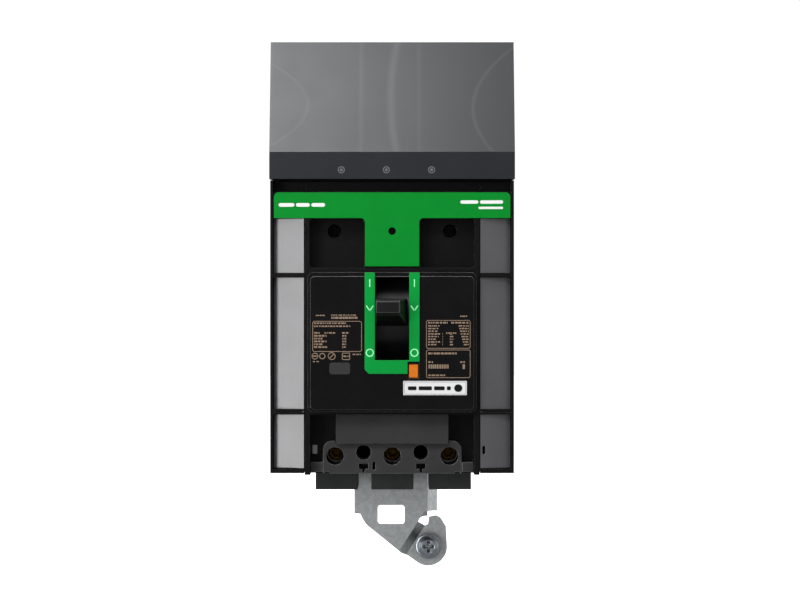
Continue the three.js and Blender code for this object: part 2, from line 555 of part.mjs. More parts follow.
const YOKE = { cheek: [6.6, 7.9], reach: 22.6, half: 5 };
const yokeCheek = [[-3, -3], [3, -3.5], [YOKE.reach, -YOKE.half], [YOKE.reach, YOKE.half], [3, 3.5], [-3, 3]];
piece('handle_yoke', cut(join(
  radial(yokeCheek, -YOKE.cheek[1], -YOKE.cheek[0]),
  radial(yokeCheek, YOKE.cheek[0], YOKE.cheek[1]),
  radial([[20.6, -YOKE.half], [YOKE.reach, -YOKE.half], [YOKE.reach, YOKE.half], [20.6, YOKE.half]], -7, 7)),
rodX(PIVOT.y, PIVOT.z, AXLE_R + 0.4, -9, 9, 12)), 'steel');

mirrored((s) => {
  const spring = new THREE.CylinderGeometry(1.9, 1.9, 15, 10);
  spring.translate(s * 4.1, PIVOT.y - 12.6, PIVOT.z);
  return piece(`main_spring_${s < 0 ? 'left' : 'right'}`, swing(solid(spring), PIVOT, -TOGGLE_REST), 'steel');
});

piece('cradle', prismX([[-54, -32], [-50.5, -32], [-50.5, 8], [-54, 8]], -1.5, 1.5), 'steel');

piece('trip_bar', join(
  rodX(TRIP_BAR.y, TRIP_BAR.z, 3, -BAR_HALF, BAR_HALF, 12),
  prismX([[-58.7, -31], [-56.9, -31], [-56.9, -44], [-51, -46], [-52, -49.5], [-58.7, -45.5]], 9.3, 11.3),
  ...poleX.map((x) => box(x - 3, x + 3, -51.5, -49.6, -55.5, TRIP_BAR.z))), 'darkGrey');

// ---- trip button ----------------------------------------------------------------------
piece('trip_button', join(
  box(BUTTON.x - BUTTON.half, BUTTON.x + BUTTON.half, COVER_FRONT - 0.9, FRONT + 0.5,
    BUTTON.z - BUTTON.tall, BUTTON.z + BUTTON.tall),
  box(BUTTON.x - BUTTON.half, BUTTON.x + 3.4, FRONT + 0.1, FRONT + 1.3, BUTTON.z - 3.8, BUTTON.z + 3.8),
  rodY(STEM_X, BUTTON.z, 1.2, -83, -59, 10)), 'orange');
piece('trip_button_spring', cut(
  rodY(STEM_X, BUTTON.z, 2.1, -79.8, BAY_FLOOR - GAP, 10),
  rodY(STEM_X, BUTTON.z, 1.6, -81, BAY_FLOOR + 1, 10)), 'steel');

// ---- mounting bracket -------------------------------------------------------------------
const TAB_DROP = 5;                 // the tab stands this far behind the plate
const FOLD_START = 71;              // distances along the normal of the fold line
const FOLD_END = 75.2;
const FOLD_OFFSET = 1.2;            // the rear of the sheet folds this much earlier
const FOLD_NORMAL = new THREE.Vector3(0.842, 0, -0.54).normalize();

const BRACKET_SCREW_Z = [40, -26, -62]; // countersunk screws that hold the bracket to the base
const BRACKET_SCREW_R = 3.2;
const WASHER_BORE = 3.3;

function bracketSheet() {
  const geometry = extrude([[-300, 0], [-300, -SHEET], [FOLD_START, -SHEET], [FOLD_END, TAB_DROP - SHEET],
    [200, TAB_DROP - SHEET], [200, TAB_DROP], [FOLD_END - FOLD_OFFSET, TAB_DROP],
    [FOLD_START - FOLD_OFFSET, 0]], 400);
  geometry.translate(0, 0, -200);
  const up = new THREE.Vector3(0, 1, 0);
  const along = new THREE.Vector3().crossVectors(FOLD_NORMAL, up);
  geometry.applyMatrix4(new THREE.Matrix4().makeBasis(FOLD_NORMAL, up, along));
  return solid(geometry);
}

// Outline of the tab: round about the screw, with a clipped upper corner and a relief notch at the fold.
function tabOutline() {
  const r = 9.6;
  const centre = { x: PAN_SCREW.x - 0.1, z: PAN_SCREW.z - 0.7 };
  const outline = new THREE.Shape();
  outline.moveTo(2, -124);
  outline.lineTo(7, -115);
  outline.lineTo(12.8, -111.9);
  outline.lineTo(16.4, -114.2);
  outline.lineTo(17.9, -113.3);
  outline.lineTo(18.4, -109.7);
  outline.lineTo(21.6, -109);
  outline.quadraticCurveTo(23.6, -109.2, 24.8, -111);
  outline.lineTo(26.9, -114.5);
  outline.absarc(centre.x, centre.z, r, 0.15, -2.2, true);
  outline.lineTo(7.9, -129.2);
  outline.lineTo(4.4, -127.6);
  outline.closePath();
  return outline;
}

function bracket() {
  const outline = new THREE.Shape();
  outline.moveTo(-19.3, 52);
  outline.lineTo(-19.3, -107.3);
  outline.lineTo(-16.2, -107.7);
  outline.quadraticCurveTo(-15.2, -110.6, -13, -113.3);
  outline.lineTo(4.5, -127.4);
  outline.lineTo(10, -119.6);
  outline.lineTo(12.7, -112.9);
  outline.quadraticCurveTo(12.8, -109.6, 15.4, -108.9);
  outline.lineTo(17.6, -108.9);
  outline.lineTo(17.6, 52);
  outline.closePath();
  const plate = prismY(outline, -SHEET, TAB_DROP);
  const tab = prismY(tabOutline(), -SHEET, TAB_DROP, 10);
  const flange = prismZ([[16.3, 0], [16.3, -SHEET], [17.6, -SHEET], [22.5, 2.4], [20.7, 4.2], [16.6, 0]],
    -106.3, BODY_BOTTOM - 0.8);
  const folded = join(plate, tab).intersect(bracketSheet());
  const pryHole = prismY(rounded(-7.5, 6, -112.9, -103.3, 1.5), -4, 2);
  const screwHole = rodY(PAN_SCREW.x, PAN_SCREW.z, WASHER_BORE, 0, 7, 12);
  const fixings = BRACKET_SCREW_Z.map((z) => rodY(0, z, BRACKET_SCREW_R, -4, 1, 24));
  return cut(join(folded, flange), pryHole, screwHole, ...fixings);
}
piece('mounting_bracket', bracket(), 'zinc');

// ---- captive pan screw, held half out ---------------------------------------------------
function panScrew() {
  const { x, z } = PAN_SCREW;
  const head = rodY(x, z, 5.5, -6.3, -2.9, 20);
  const shank = rodY(x, z, 2.9, -3, 4.8, 12);
  const recess = join(
    box(x - 3, x + 3, -7, -4.6, z - 0.7, z + 0.7),
    box(x - 0.7, x + 0.7, -7, -4.6, z - 3, z + 3));
  return cut(join(head, shank), recess);
}
piece('pan_screw', panScrew(), 'zinc');
piece('pan_screw_washer', cut(
  rodY(PAN_SCREW.x, PAN_SCREW.z, 6.5, -2.6, -1.4, 20),
  rodY(PAN_SCREW.x, PAN_SCREW.z, WASHER_BORE, -4, 0, 12)), 'zinc');

export default breaker;
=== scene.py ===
import math
import random

import bmesh
import bpy
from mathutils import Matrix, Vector

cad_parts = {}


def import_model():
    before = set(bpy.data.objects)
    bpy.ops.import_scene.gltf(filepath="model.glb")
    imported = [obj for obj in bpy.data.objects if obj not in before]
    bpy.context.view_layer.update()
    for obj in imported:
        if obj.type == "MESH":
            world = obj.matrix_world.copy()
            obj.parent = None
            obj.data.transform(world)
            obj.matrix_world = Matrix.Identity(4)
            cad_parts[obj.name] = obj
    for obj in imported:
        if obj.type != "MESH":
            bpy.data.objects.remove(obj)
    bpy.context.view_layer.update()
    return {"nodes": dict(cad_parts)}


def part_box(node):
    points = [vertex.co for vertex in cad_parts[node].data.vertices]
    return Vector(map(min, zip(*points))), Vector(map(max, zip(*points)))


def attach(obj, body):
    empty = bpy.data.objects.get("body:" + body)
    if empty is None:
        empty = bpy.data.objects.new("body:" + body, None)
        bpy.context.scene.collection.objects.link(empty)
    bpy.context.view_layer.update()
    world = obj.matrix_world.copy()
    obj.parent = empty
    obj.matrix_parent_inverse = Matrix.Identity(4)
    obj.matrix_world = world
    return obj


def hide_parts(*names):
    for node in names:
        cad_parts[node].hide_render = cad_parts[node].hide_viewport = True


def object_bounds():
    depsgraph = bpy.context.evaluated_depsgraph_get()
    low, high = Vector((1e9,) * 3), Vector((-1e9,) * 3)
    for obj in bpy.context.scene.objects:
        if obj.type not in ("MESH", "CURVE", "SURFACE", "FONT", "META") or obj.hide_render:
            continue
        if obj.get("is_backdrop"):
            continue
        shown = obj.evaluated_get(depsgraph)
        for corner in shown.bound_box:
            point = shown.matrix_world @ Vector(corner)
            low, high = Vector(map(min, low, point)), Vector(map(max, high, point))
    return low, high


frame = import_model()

NODES = frame["nodes"]
MM = 0.001
POLES = "abc"
random.seed(7)                          # for the small print, which is the same on every run


# ---- small helpers ---------------------------------------------------------------------
def low(node):
    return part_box(node)[0]


def high(node):
    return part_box(node)[1]


def middle(node):
    return (low(node) + high(node)) / 2


def linear(level):
    """Linear light from one 0 to 255 screen level, by the sRGB curve and its straight foot."""
    if level > 10:
        return ((level / 255 + 0.055) / 1.055) ** 2.4
    return level / 255 / 12.92


def srgb(*levels):
    """Linear colour from 0 to 255 screen levels."""
    return tuple(linear(level) for level in levels)


def scaled(colour, factor):
    return tuple(min(1, c * factor) for c in colour)


# ---- materials ---------------------------------------------------------------------------
SLOPE_FOOT = 69.5                       # the sloped face of the line-end cover starts at this z, in mm


class Shader:
    """A Principled material with object-space coordinates in millimetres."""

    def __init__(self, name):
        self.material = bpy.data.materials.new(name)
        self.material.use_nodes = True
        self.tree = self.material.node_tree
        self.bsdf = self.tree.nodes["Principled BSDF"]
        coordinates = self.tree.nodes.new("ShaderNodeTexCoord")
        self.mapping = self.tree.nodes.new("ShaderNodeMapping")
        self.mapping.inputs["Scale"].default_value = (1000, 1000, 1000)
        self.tree.links.new(coordinates.outputs["Object"], self.mapping.inputs["Vector"])

    def set(self, **values):
        for name, value in values.items():
            self.bsdf.inputs[name.replace("_", " ")].default_value = value

    def stretched(self, scale):
        """Coordinates scaled by axis; a small number draws the pattern out along that axis."""
        node = self.tree.nodes.new("ShaderNodeMapping")
        node.inputs["Scale"].default_value = scale
        self.tree.links.new(self.mapping.outputs["Vector"], node.inputs["Vector"])
        return node

    def noise(self, scale, detail=3, rough=0.5, source=None, distortion=0):
        node = self.tree.nodes.new("ShaderNodeTexNoise")
        node.inputs["Scale"].default_value = scale
        node.inputs["Detail"].default_value = detail
        node.inputs["Roughness"].default_value = rough
        node.inputs["Distortion"].default_value = distortion
        self.tree.links.new((source or self.mapping).outputs["Vector"], node.inputs["Vector"])
        return node.outputs["Fac"]

    def remap(self, value, low_in, high_in, low_out, high_out):
        node = self.tree.nodes.new("ShaderNodeMapRange")
        node.inputs["From Min"].default_value = low_in
        node.inputs["From Max"].default_value = high_in
        node.inputs["To Min"].default_value = low_out
        node.inputs["To Max"].default_value = high_out
        self.tree.links.new(value, node.inputs["Value"])
        return node.outputs["Result"]

    def math(self, operation, first, second=0.0):
        node = self.tree.nodes.new("ShaderNodeMath")
        node.operation = operation
        for socket, value in zip(node.inputs, (first, second)):
            if isinstance(value, (int, float)):
                socket.default_value = value
            else:
                self.tree.links.new(value, socket)
        return node.outputs[0]

    def place(self):
        """X, Y and Z in millimetres."""
        node = self.tree.nodes.new("ShaderNodeSeparateXYZ")
        self.tree.links.new(self.mapping.outputs["Vector"], node.inputs[0])
        return node.outputs

    def flow_line(self, x0, bend, z0, width):
        """1 along the line x = x0 + bend (z - z0)^2 of the sloped face, fading over width mm."""
        at = self.place()
        rise = self.math("SUBTRACT", at[2], z0)
        line = self.math("ADD", self.math("MULTIPLY", self.math("MULTIPLY", rise, rise), bend), x0)
        off = self.math("DIVIDE", self.math("SUBTRACT", at[0], line), width)
        bell = self.math("POWER", math.exp(-1), self.math("MULTIPLY", off, off))
        return self.math("MULTIPLY", bell, self.math("GREATER_THAN", at[2], SLOPE_FOOT))

    def mix(self, factor, first, second):
        node = self.tree.nodes.new("ShaderNodeMix")
        node.data_type = "RGBA"
        for socket, colour in ((node.inputs[6], first), (node.inputs[7], second)):
            if isinstance(colour, tuple):
                socket.default_value = (*colour[:3], 1)
            else:
                self.tree.links.new(colour, socket)
        self.tree.links.new(factor, node.inputs[0])
        return node.outputs[2]

    def colour(self, socket):
        self.tree.links.new(socket, self.bsdf.inputs["Base Color"])

    def roughness(self, socket):
        self.tree.links.new(socket, self.bsdf.inputs["Roughness"])

    def bump(self, height, strength, distance):
        """Adds a bump, distance in millimetres, on top of the bumps already there."""
        node = self.tree.nodes.new("ShaderNodeBump")
        node.inputs["Strength"].default_value = strength
        node.inputs["Distance"].default_value = distance * MM
        previous = self.bsdf.inputs["Normal"]
        if previous.is_linked:
            self.tree.links.new(previous.links[0].from_socket, node.inputs["Normal"])
        self.tree.links.new(height, node.inputs["Height"])
        self.tree.links.new(node.outputs["Normal"], previous)


def molded(name, colour, rough, grain=0.25, wave=0.12, spread=0.18, specular=0.5):
    """Molded plastic: fine spark-eroded grain, faint flow waviness and a gently uneven tone."""
    s = Shader(name)
    s.set(Specular_IOR_Level=specular)
    flow = s.remap(s.noise(0.06, 4, 0.55, distortion=0.4), 0.3, 0.7, 0, 1)
    s.colour(s.mix(flow, scaled(colour, 1 - spread), scaled(colour, 1 + spread)))
    s.roughness(s.remap(s.noise(0.35, 4), 0.25, 0.75, rough - 0.06, rough + 0.08))
    s.bump(s.noise(0.09, 2), wave, 0.5)
    s.bump(s.noise(2.2, 2), grain, 0.05)
    return s.material


# Flow marks on the sloped face of the line-end cover: x, bend, z of the bend, width (mm), strength.
FLOW_LINES = ((-39.7, -0.045, 92, 1.0, 0.3), (-14.7, 0, 90, 1.1, 0.28), (-0.6, 0.004, 95, 1.9, 0.55),
              (12.6, 0, 90, 1.0, 0.2), (38, 0.022, 90, 0.9, 0.38))
PALE_FLOW = (0.045, 0.046, 0.048)       # their colour


def glossy_molding(name, colour, rough, wave, cloud, specular, lines=()):
    """Smooth glossy molding with clouds in its colour, cloudy pigment except on the wing floors, where
    they are painted reflection; flow lines show paler.
    """
    s = Shader(name)
    s.set(Specular_IOR_Level=specular)
    clouds = s.noise(0.04, 4, 0.6, distortion=0.6)
    base = s.mix(clouds, scaled(colour, 1 - cloud), scaled(colour, 1 + cloud))
    for x0, bend, z0, width, strength in lines:
        line = s.math("MULTIPLY", s.flow_line(x0, bend, z0, width), strength)
        base = s.mix(line, base, PALE_FLOW)
    s.colour(base)
    s.roughness(s.remap(s.noise(0.08, 2), 0, 1, rough - 0.02, rough + 0.03))
    s.bump(s.noise(0.04, 1), wave, 0.6)
    s.bump(s.noise(1.6, 3), 0.08, 0.03)
    return s.material


def metal(name, colour, rough, brushed=0.2, blotch=0.12):
    """Plated or plain metal: rolled-sheet streaks, crystalline blotches, fine scratches."""
    s = Shader(name)
    s.set(Metallic=1.0)
    rolled = s.stretched((6.0, 6.0, 0.25))
    patches = s.remap(s.noise(0.5, 6, 0.75, distortion=0.5), 0.3, 0.7, 0, 1)
    s.colour(s.mix(patches, scaled(colour, 1 + blotch), scaled(colour, 1 - blotch * 2)))
    s.roughness(s.remap(s.noise(0.8, 4), 0.3, 0.7, rough - 0.08, rough + 0.1))
    s.bump(s.noise(0.7, 3, 0.6, rolled), brushed, 0.04)
    s.bump(s.noise(0.15, 2), 0.15, 0.15)
    return s.material


def printed(name, colour, rough=0.45):
    """Ink: slightly uneven cover with a fine tooth."""
    s = Shader(name)
    s.set(Specular_IOR_Level=0.1)
    s.colour(s.mix(s.remap(s.noise(1.5, 3), 0.3, 0.7, 0, 1), scaled(colour, 0.9), colour))
    s.roughness(s.remap(s.noise(0.9, 2), 0.3, 0.7, rough - 0.05, rough + 0.05))
    s.bump(s.noise(4.0, 2), 0.1, 0.02)
    return s.material


# A roughness range that crosses about 0.27 shows specks in the denoised render, so each one stays
# wholly above or below that.
LOOKS = {
    "case": molded("molded_black", srgb(10, 9, 10), 0.36, grain=0.06, wave=0.05, specular=0.12),
    # Slightly lighter and much glossier than the case: painted highlight along the case's rounded edges.
    "case_edge_highlight": molded("molded_black_edge_painted_highlight", srgb(14, 13, 14), 0.19, grain=0.04, wave=0.02, specular=0.8),
    "cover": molded("molded_black_smooth", srgb(12, 11, 12), 0.19, grain=0.04, wave=0.05, specular=0.14),
    # Mid grey on a black cover: painted highlight, the bright rim lines along the accessory cover's edges.
    "cover_edge_highlight": molded("molded_cover_edge_painted_highlight", srgb(104, 102, 102), 0.36, 0.04, 0.02, specular=1.0),
    "toggle": molded("toggle_black", srgb(13, 12, 12), 0.5, grain=0.06, wave=0.04, specular=0.1),
    # Lighter than the toggle: painted highlight along its rounded edges.
    "toggle_edge_highlight": molded("toggle_edge_painted_highlight", srgb(24, 23, 23), 0.45, grain=0.04, wave=0.02, specular=0.5),
    "shield": molded("shield_black", srgb(15, 14, 15), 0.36, grain=0.05, wave=0.04, specular=0.25),
    "dark_grey": molded("molded_dark_grey", srgb(50, 50, 51), 0.36, 0.12, 0.05, 0.12, 0.12),
    # Mid grey, far lighter than the dark grey faces: painted highlight along the edges of the terminal
    # cover and load end panel.
    "grey_edge_highlight": molded("molded_grey_edge_painted_highlight", srgb(128, 128, 128), 0.36, 0.05, 0.02, 0.1, 0.9),
    "lug_housing": molded("molded_charcoal", srgb(56, 57, 57), 0.4, grain=0.12, specular=0.12),
    "anthracite": glossy_molding("molded_anthracite", srgb(12, 17, 22), 0.31, 0.04, 0.2, 0.5, FLOW_LINES),
    # Lighter than the anthracite: painted highlight along the line-end cover's edges.
    "anthracite_edge_highlight": glossy_molding("molded_anthracite_edge_painted_highlight", srgb(50, 54, 58), 0.23, 0.02, 0.05, 0.8),
    # Mid grey with strong clouds: painted reflection. The wing floors are glossy black plastic, and this
    # grey and its clouds stand in for the light they reflect, so they read grey from any side.
    "wing_floor": glossy_molding("molded_grey_painted_reflection", srgb(66, 66, 69), 0.33, 0.03, 0.4, 1.0),
    "green": molded("molded_green", srgb(0, 122, 36), 0.36, 0.06, 0.05, 0.05, 0.1),
    "green_ring": molded("escutcheon_green", srgb(0, 138, 54), 0.36, 0.06, 0.05, 0.06, 0.12),
    "orange": molded("button_orange", srgb(196, 106, 26), 0.36, 0.08, 0.05, 0.06, 0.12),
    "zinc": metal("zinc_plate", srgb(190, 194, 195), 0.38, 0.2, 0.14),
    "screw_zinc": metal("screw_zinc", srgb(150, 156, 162), 0.37, 0.12, 0.12),
    "steel": metal("plain_steel", srgb(150, 151, 152), 0.38),
    "black_oxide": metal("black_oxide", srgb(30, 30, 32), 0.42, 0.1),
    "spring": metal("spring_steel", srgb(120, 121, 124), 0.37),
    "copper": metal("copper", srgb(196, 128, 92), 0.38, 0.2, 0.12),
    "aluminium": metal("tinned_aluminium", srgb(186, 188, 190), 0.38, 0.15, 0.06),
    # Yellow plating at about half its brightness: painted shade, for the shade deep in the terminal
    # cover's holes where the lug screws sit.
    "brass": metal("yellow_plate_darkened_for_shade", srgb(96, 72, 32), 0.37, 0.12, 0.35),
    "beige_ink": printed("beige_ink", srgb(132, 113, 96)),
    "pale_ink": printed("pale_green_ink", srgb(150, 240, 180)),
    "white_ink": printed("white_ink", srgb(220, 222, 220)),
    "black_ink": printed("black_ink", srgb(16, 16, 17)),
    "label_white": printed("label_white", srgb(214, 214, 214), 0.5),
    "mark_grey": printed("mark_grey", srgb(50, 49, 50), 0.5),
    "ejector": printed("ejector_grey", srgb(96, 100, 104), 0.4),
    # Pale grey on a block in a dark recess: painted light, the lit patch seen beside the terminal cover.
    "recess_painted_light": printed("recess_painted_light", srgb(140, 140, 140), 0.4),
}
# Painted edge highlights: a lighter, glossier finish that a node's rounded edges take in place of the
# finish of its faces.
EDGE_HIGHLIGHTS = {
    "case": "case_edge_highlight", "cover": "cover_edge_highlight", "anthracite": "anthracite_edge_highlight", "toggle": "toggle_edge_highlight",
    "dark_grey": "grey_edge_highlight",
}


def add_bevel(obj, width, angle):
    """Rounds the edges sharper than angle degrees, width in millimetres."""
    bevel = obj.modifiers.new("edge", "BEVEL")
    bevel.width = width * MM
    bevel.segments = 2
    bevel.limit_method = "ANGLE"
    bevel.angle_limit = math.radians(angle)
    bevel.harden_normals = True
    return bevel


def soften(node, look, width, angle=35):
    """Gives a CAD node its finish and a small edge radius, with a lighter, glossier finish on the rounded
    edges, a painted highlight, for the finishes that have one.
    """
    obj = NODES[node]
    obj.data.materials.clear()
    obj.data.materials.append(LOOKS[look])
    if look in EDGE_HIGHLIGHTS:
        obj.data.materials.append(LOOKS[EDGE_HIGHLIGHTS[look]])
    weld = obj.modifiers.new("weld", "WELD")
    weld.merge_threshold = 0.01 * MM
    # the bevel faces take slot 1, the painted-highlight finish, where there is one
    add_bevel(obj, width, angle).material = 1 if look in EDGE_HIGHLIGHTS else -1
    for polygon in obj.data.polygons:
        polygon.use_smooth = True
    smooth = obj.modifiers.new("normals", "WEIGHTED_NORMAL")
    smooth.keep_sharp = True


# Finish, edge radius in millimetres and, for the shallow slope of the plug-on cover, the edge angle.
CAD_LOOKS = {
    "base_case": ("case", 0.5), "front_cover": ("case", 0.35), "accessory_cover": ("cover", 0.5),
    "wing_left": ("case", 0.3), "wing_right": ("case", 0.3),
    "wing_floor_left": ("wing_floor", 0.2), "wing_floor_right": ("wing_floor", 0.2),
    "plug_on_cover": ("anthracite", 0.5, 10), "jaw_housing": ("case", 0.6),
    "load_end_panel": ("dark_grey", 0.3), "terminal_cover": ("dark_grey", 0.5),
    "fascia": ("green", 0.3), "toggle_escutcheon": ("green_ring", 0.2), "trip_button": ("orange", 0.3),
    "dust_shield": ("shield", 0.2), "toggle_handle": ("toggle", 0.5), "mounting_bracket": ("zinc", 0.35),
    "mechanism_frame": ("steel", 0.15), "handle_yoke": ("steel", 0.15), "cradle": ("steel", 0.2),
    "crossbar": ("dark_grey", 0.2), "trip_bar": ("dark_grey", 0.2), "fascia_screw": ("black_oxide", 0.15),
    "pocket_screw_left": ("black_oxide", 0.2), "pocket_screw_right": ("black_oxide", 0.2),
}
for pole in POLES:
    CAD_LOOKS[f"lug_housing_{pole}"] = ("lug_housing", 0.5)
    CAD_LOOKS[f"lug_{pole}"] = ("aluminium", 0.3)
    CAD_LOOKS[f"clamp_pad_{pole}"] = ("brass", 0.15)
    CAD_LOOKS[f"line_jaw_{pole}"] = ("copper", 0.1)
    CAD_LOOKS[f"load_strap_{pole}"] = ("copper", 0.2)
    CAD_LOOKS[f"contact_arm_{pole}"] = ("copper", 0.2)
    CAD_LOOKS[f"bimetal_{pole}"] = ("steel", 0.1)
    CAD_LOOKS[f"magnet_yoke_{pole}"] = ("steel", 0.2)
    CAD_LOOKS[f"arc_chute_{pole}"] = ("steel", 0.1)
REPLACED = {
    "pan_screw", "pan_screw_washer", "main_spring_left", "main_spring_right", "trip_button_spring",
    "lug_screw_a", "lug_screw_b", "lug_screw_c",
}
for node, finish in CAD_LOOKS.items():
    soften(node, *finish)
left_over = set(NODES) - set(CAD_LOOKS) - REPLACED
assert not left_over, left_over


# ---- new pieces ------------------------------------------------------------------------------
EDGE_ANGLE = 30                         # new pieces are rounded where edges are sharper than this, degrees


def add_piece(name, mesh_builder, look, body, stands_for=(), smooth=True):
    """Turns a bmesh into a named piece that rides on a body."""
    mesh = bpy.data.meshes.new(name)
    mesh_builder.normal_update()
    mesh_builder.to_mesh(mesh)
    mesh_builder.free()
    obj = bpy.data.objects.new(name, mesh)
    bpy.context.scene.collection.objects.link(obj)
    mesh.materials.append(LOOKS[look])
    for polygon in mesh.polygons:
        polygon.use_smooth = smooth
    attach(obj, body)
    if stands_for:
        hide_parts(*stands_for)
    return obj


def add_print(name, mesh_builder, look):
    """Ink or a label on the case: thin and flat."""
    return add_piece(name, mesh_builder, look, "case", smooth=False)


def arc(cx, cz, r, start, end, steps):
    """Points on an arc, angles in degrees."""
    turn = [math.radians(start + (end - start) * i / steps) for i in range(steps + 1)]
    return [(cx + r * math.cos(a), cz + r * math.sin(a)) for a in turn]


def rounded_outline(x0, x1, z0, z1, r, steps=4):
    """A rectangle with round corners, as (x, z) points."""
    r = min(r, (x1 - x0) / 2 - 0.01, (z1 - z0) / 2 - 0.01)
    return (arc(x1 - r, z0 + r, r, -90, 0, steps) + arc(x1 - r, z1 - r, r, 0, 90, steps)
            + arc(x0 + r, z1 - r, r, 90, 180, steps) + arc(x0 + r, z0 + r, r, 180, 270, steps))


def slab(bm, outline, y0, y1):
    """A closed prism of an (x, z) outline between two y planes, all in millimetres."""
    front = [bm.verts.new((x * MM, y0 * MM, z * MM)) for x, z in outline]
    back = [bm.verts.new((x * MM, y1 * MM, z * MM)) for x, z in outline]
    bm.faces.new(front)
    bm.faces.new(reversed(back))
    count = len(outline)
    for i in range(count):
        j = (i + 1) % count
        bm.faces.new((front[j], front[i], back[i], back[j]))


def frame_slab(bm, outer, inner, y0, y1):
    """A closed ring between two outlines with the same number of points."""
    count = len(outer)
    rings = [[bm.verts.new((x * MM, y * MM, z * MM)) for x, z in line]
             for line, y in ((outer, y0), (inner, y0), (inner, y1), (outer, y1))]
    for i in range(count):
        j = (i + 1) % count
        for a, b in zip(rings, rings[1:] + rings[:1]):
            bm.faces.new((a[i], a[j], b[j], b[i]))


def border(bm, x0, x1, z0, z1, r, line, y0, y1):
    """A printed rectangle, line wide, with round corners."""
    inner = rounded_outline(x0 + line, x1 - line, z0 + line, z1 - line, max(r - line, 0.05))
    frame_slab(bm, rounded_outline(x0, x1, z0, z1, r), inner, y0, y1)


def stroke(bm, points, width, y0, y1):
    """A run of straight bars through the points, each end rounded by a short cap."""
    for (xa, za), (xb, zb) in zip(points, points[1:]):
        turn = math.degrees(math.atan2(zb - za, xb - xa))
        head = arc(xb, zb, width / 2, turn - 90, turn + 90, 6)
        tail = arc(xa, za, width / 2, turn + 90, turn + 270, 6)
        slab(bm, head + tail, y0, y1)


def ring(bm, cx, cz, r, width, y0, y1):
    """A printed circle of outer radius r."""
    steps = 28
    last = 360 - 360 / steps
    frame_slab(bm, arc(cx, cz, r, 0, last, steps - 1), arc(cx, cz, r - width, 0, last, steps - 1), y0, y1)


def lathe(bm, centre, profile, steps):
    """Turns a (radius, y) profile about a Y axis.

    A radius of 0 closes the row on the axis, and a function gives the radius by angle.
    """
    cx, cz = centre
    rows = []
    for r, y in profile:
        row = []
        for i in range(1 if r == 0 else steps):
            a = 2 * math.pi * i / steps
            reach = r(a) if callable(r) else r
            at = Vector((cx + reach * math.cos(a), y, cz + reach * math.sin(a)))
            row.append(bm.verts.new(at * MM))
        rows.append(row)
    for a, b in zip(rows, rows[1:]):
        for i in range(steps):
            j = (i + 1) % steps
            corners = [a[i % len(a)], a[j % len(a)], b[j % len(b)], b[i % len(b)]]
            unique = list(dict.fromkeys(corners))
            if len(unique) > 2:
                bm.faces.new(unique)
    bmesh.ops.recalc_face_normals(bm, faces=bm.faces)


def word_row(bm, x0, x1, z, height, y0, y1, gap=0.45):
    """A line of small print, from x0 to x1 on z, as uneven blocks that spell nothing."""
    x = x0
    while x < x1 - 0.3:
        wide = min(random.uniform(0.5, 1.7), x1 - x)
        slab(bm, rounded_outline(x, x + wide, z, z + height, 0.08, 1), y0, y1)
        x += wide + gap * random.uniform(0.5, 1.2)


# ---- printed marks ---------------------------------------------------------------------------
FACE = low("accessory_cover").y / MM
RING_FACE = low("toggle_escutcheon").y / MM
FASCIA_FACE = low("fascia").y / MM
BAND_FACE = low("plug_on_cover").y / MM
INK = 0.06                              # how far ink stands proud
LABEL = 0.12                            # how far the white label does
SUNK = 0.12                             # how far either reaches into the face below

# The plates and the print on them, in millimetres: x0, x1, z0, z1.
LEFT_PLATE = (-37.2, -14.1, -24.2, -9.8)
RIGHT_PLATES = ((15.9, 36.6, -22.7, -9.4), (15.9, 36.6, -36.4, -23.2))
WHITE_LABEL = (5.2, 34.9, -44.4, -37.8)
LABEL_BORDER = (5.6, 34.5, -44.0, -38.2)
TEST_PATCH = (-29.3, -19.6, -34.7, -29.2)
# Lines of print: x0, x1, z, height and, where it isn't the usual one, the gap between words.
LEFT_HEADINGS = ((-36.4, -21.5, -11.2, 0.7), (-36.4, -19.5, -12.6, 0.7), (-36.4, -33.8, -15.7, 0.7),
                 (-31.6, -26.6, -15.7, 0.7), (-23.4, -20.4, -15.7, 0.7))
LEFT_NOTES = ((-35.6, -31.4, -7.5, 0.6), (-28.4, -16.4, -7.3, 0.5), (-28.4, -16.2, -8.8, 1.0, 0.3))
LEFT_FOOTNOTES = ((-22.8, -20.2, -26.6, 0.7), (-18.4, -14.4, -25.7, 0.6), (-37.0, -34.2, -29.0, 0.5))
RIGHT_HEADINGS = ((16.8, 26.0, -11.0, 0.8), (27.6, 35.8, -11.0, 0.8))
RIGHT_NOTES = ((25.2, 30.0, -15.8, 0.7), (16.8, 30.2, -25.4, 0.9), (17.0, 26.4, -32.0, 1.9, 0.35),
               (16.9, 19.6, -29.4, 0.8), (31.8, 34.0, -29.4, 0.8))
RIGHT_FOOTNOTES = ((16.9, 24.8, -35.5, 0.7), (31.8, 35.2, -7.9, 0.6))


def on_face(face):
    return face - INK, face + SUNK


def word_rows(bm, rows, y0, y1):
    for x0, x1, z, height, *gap in rows:
        word_row(bm, x0, x1, z, height, y0, y1, *gap)


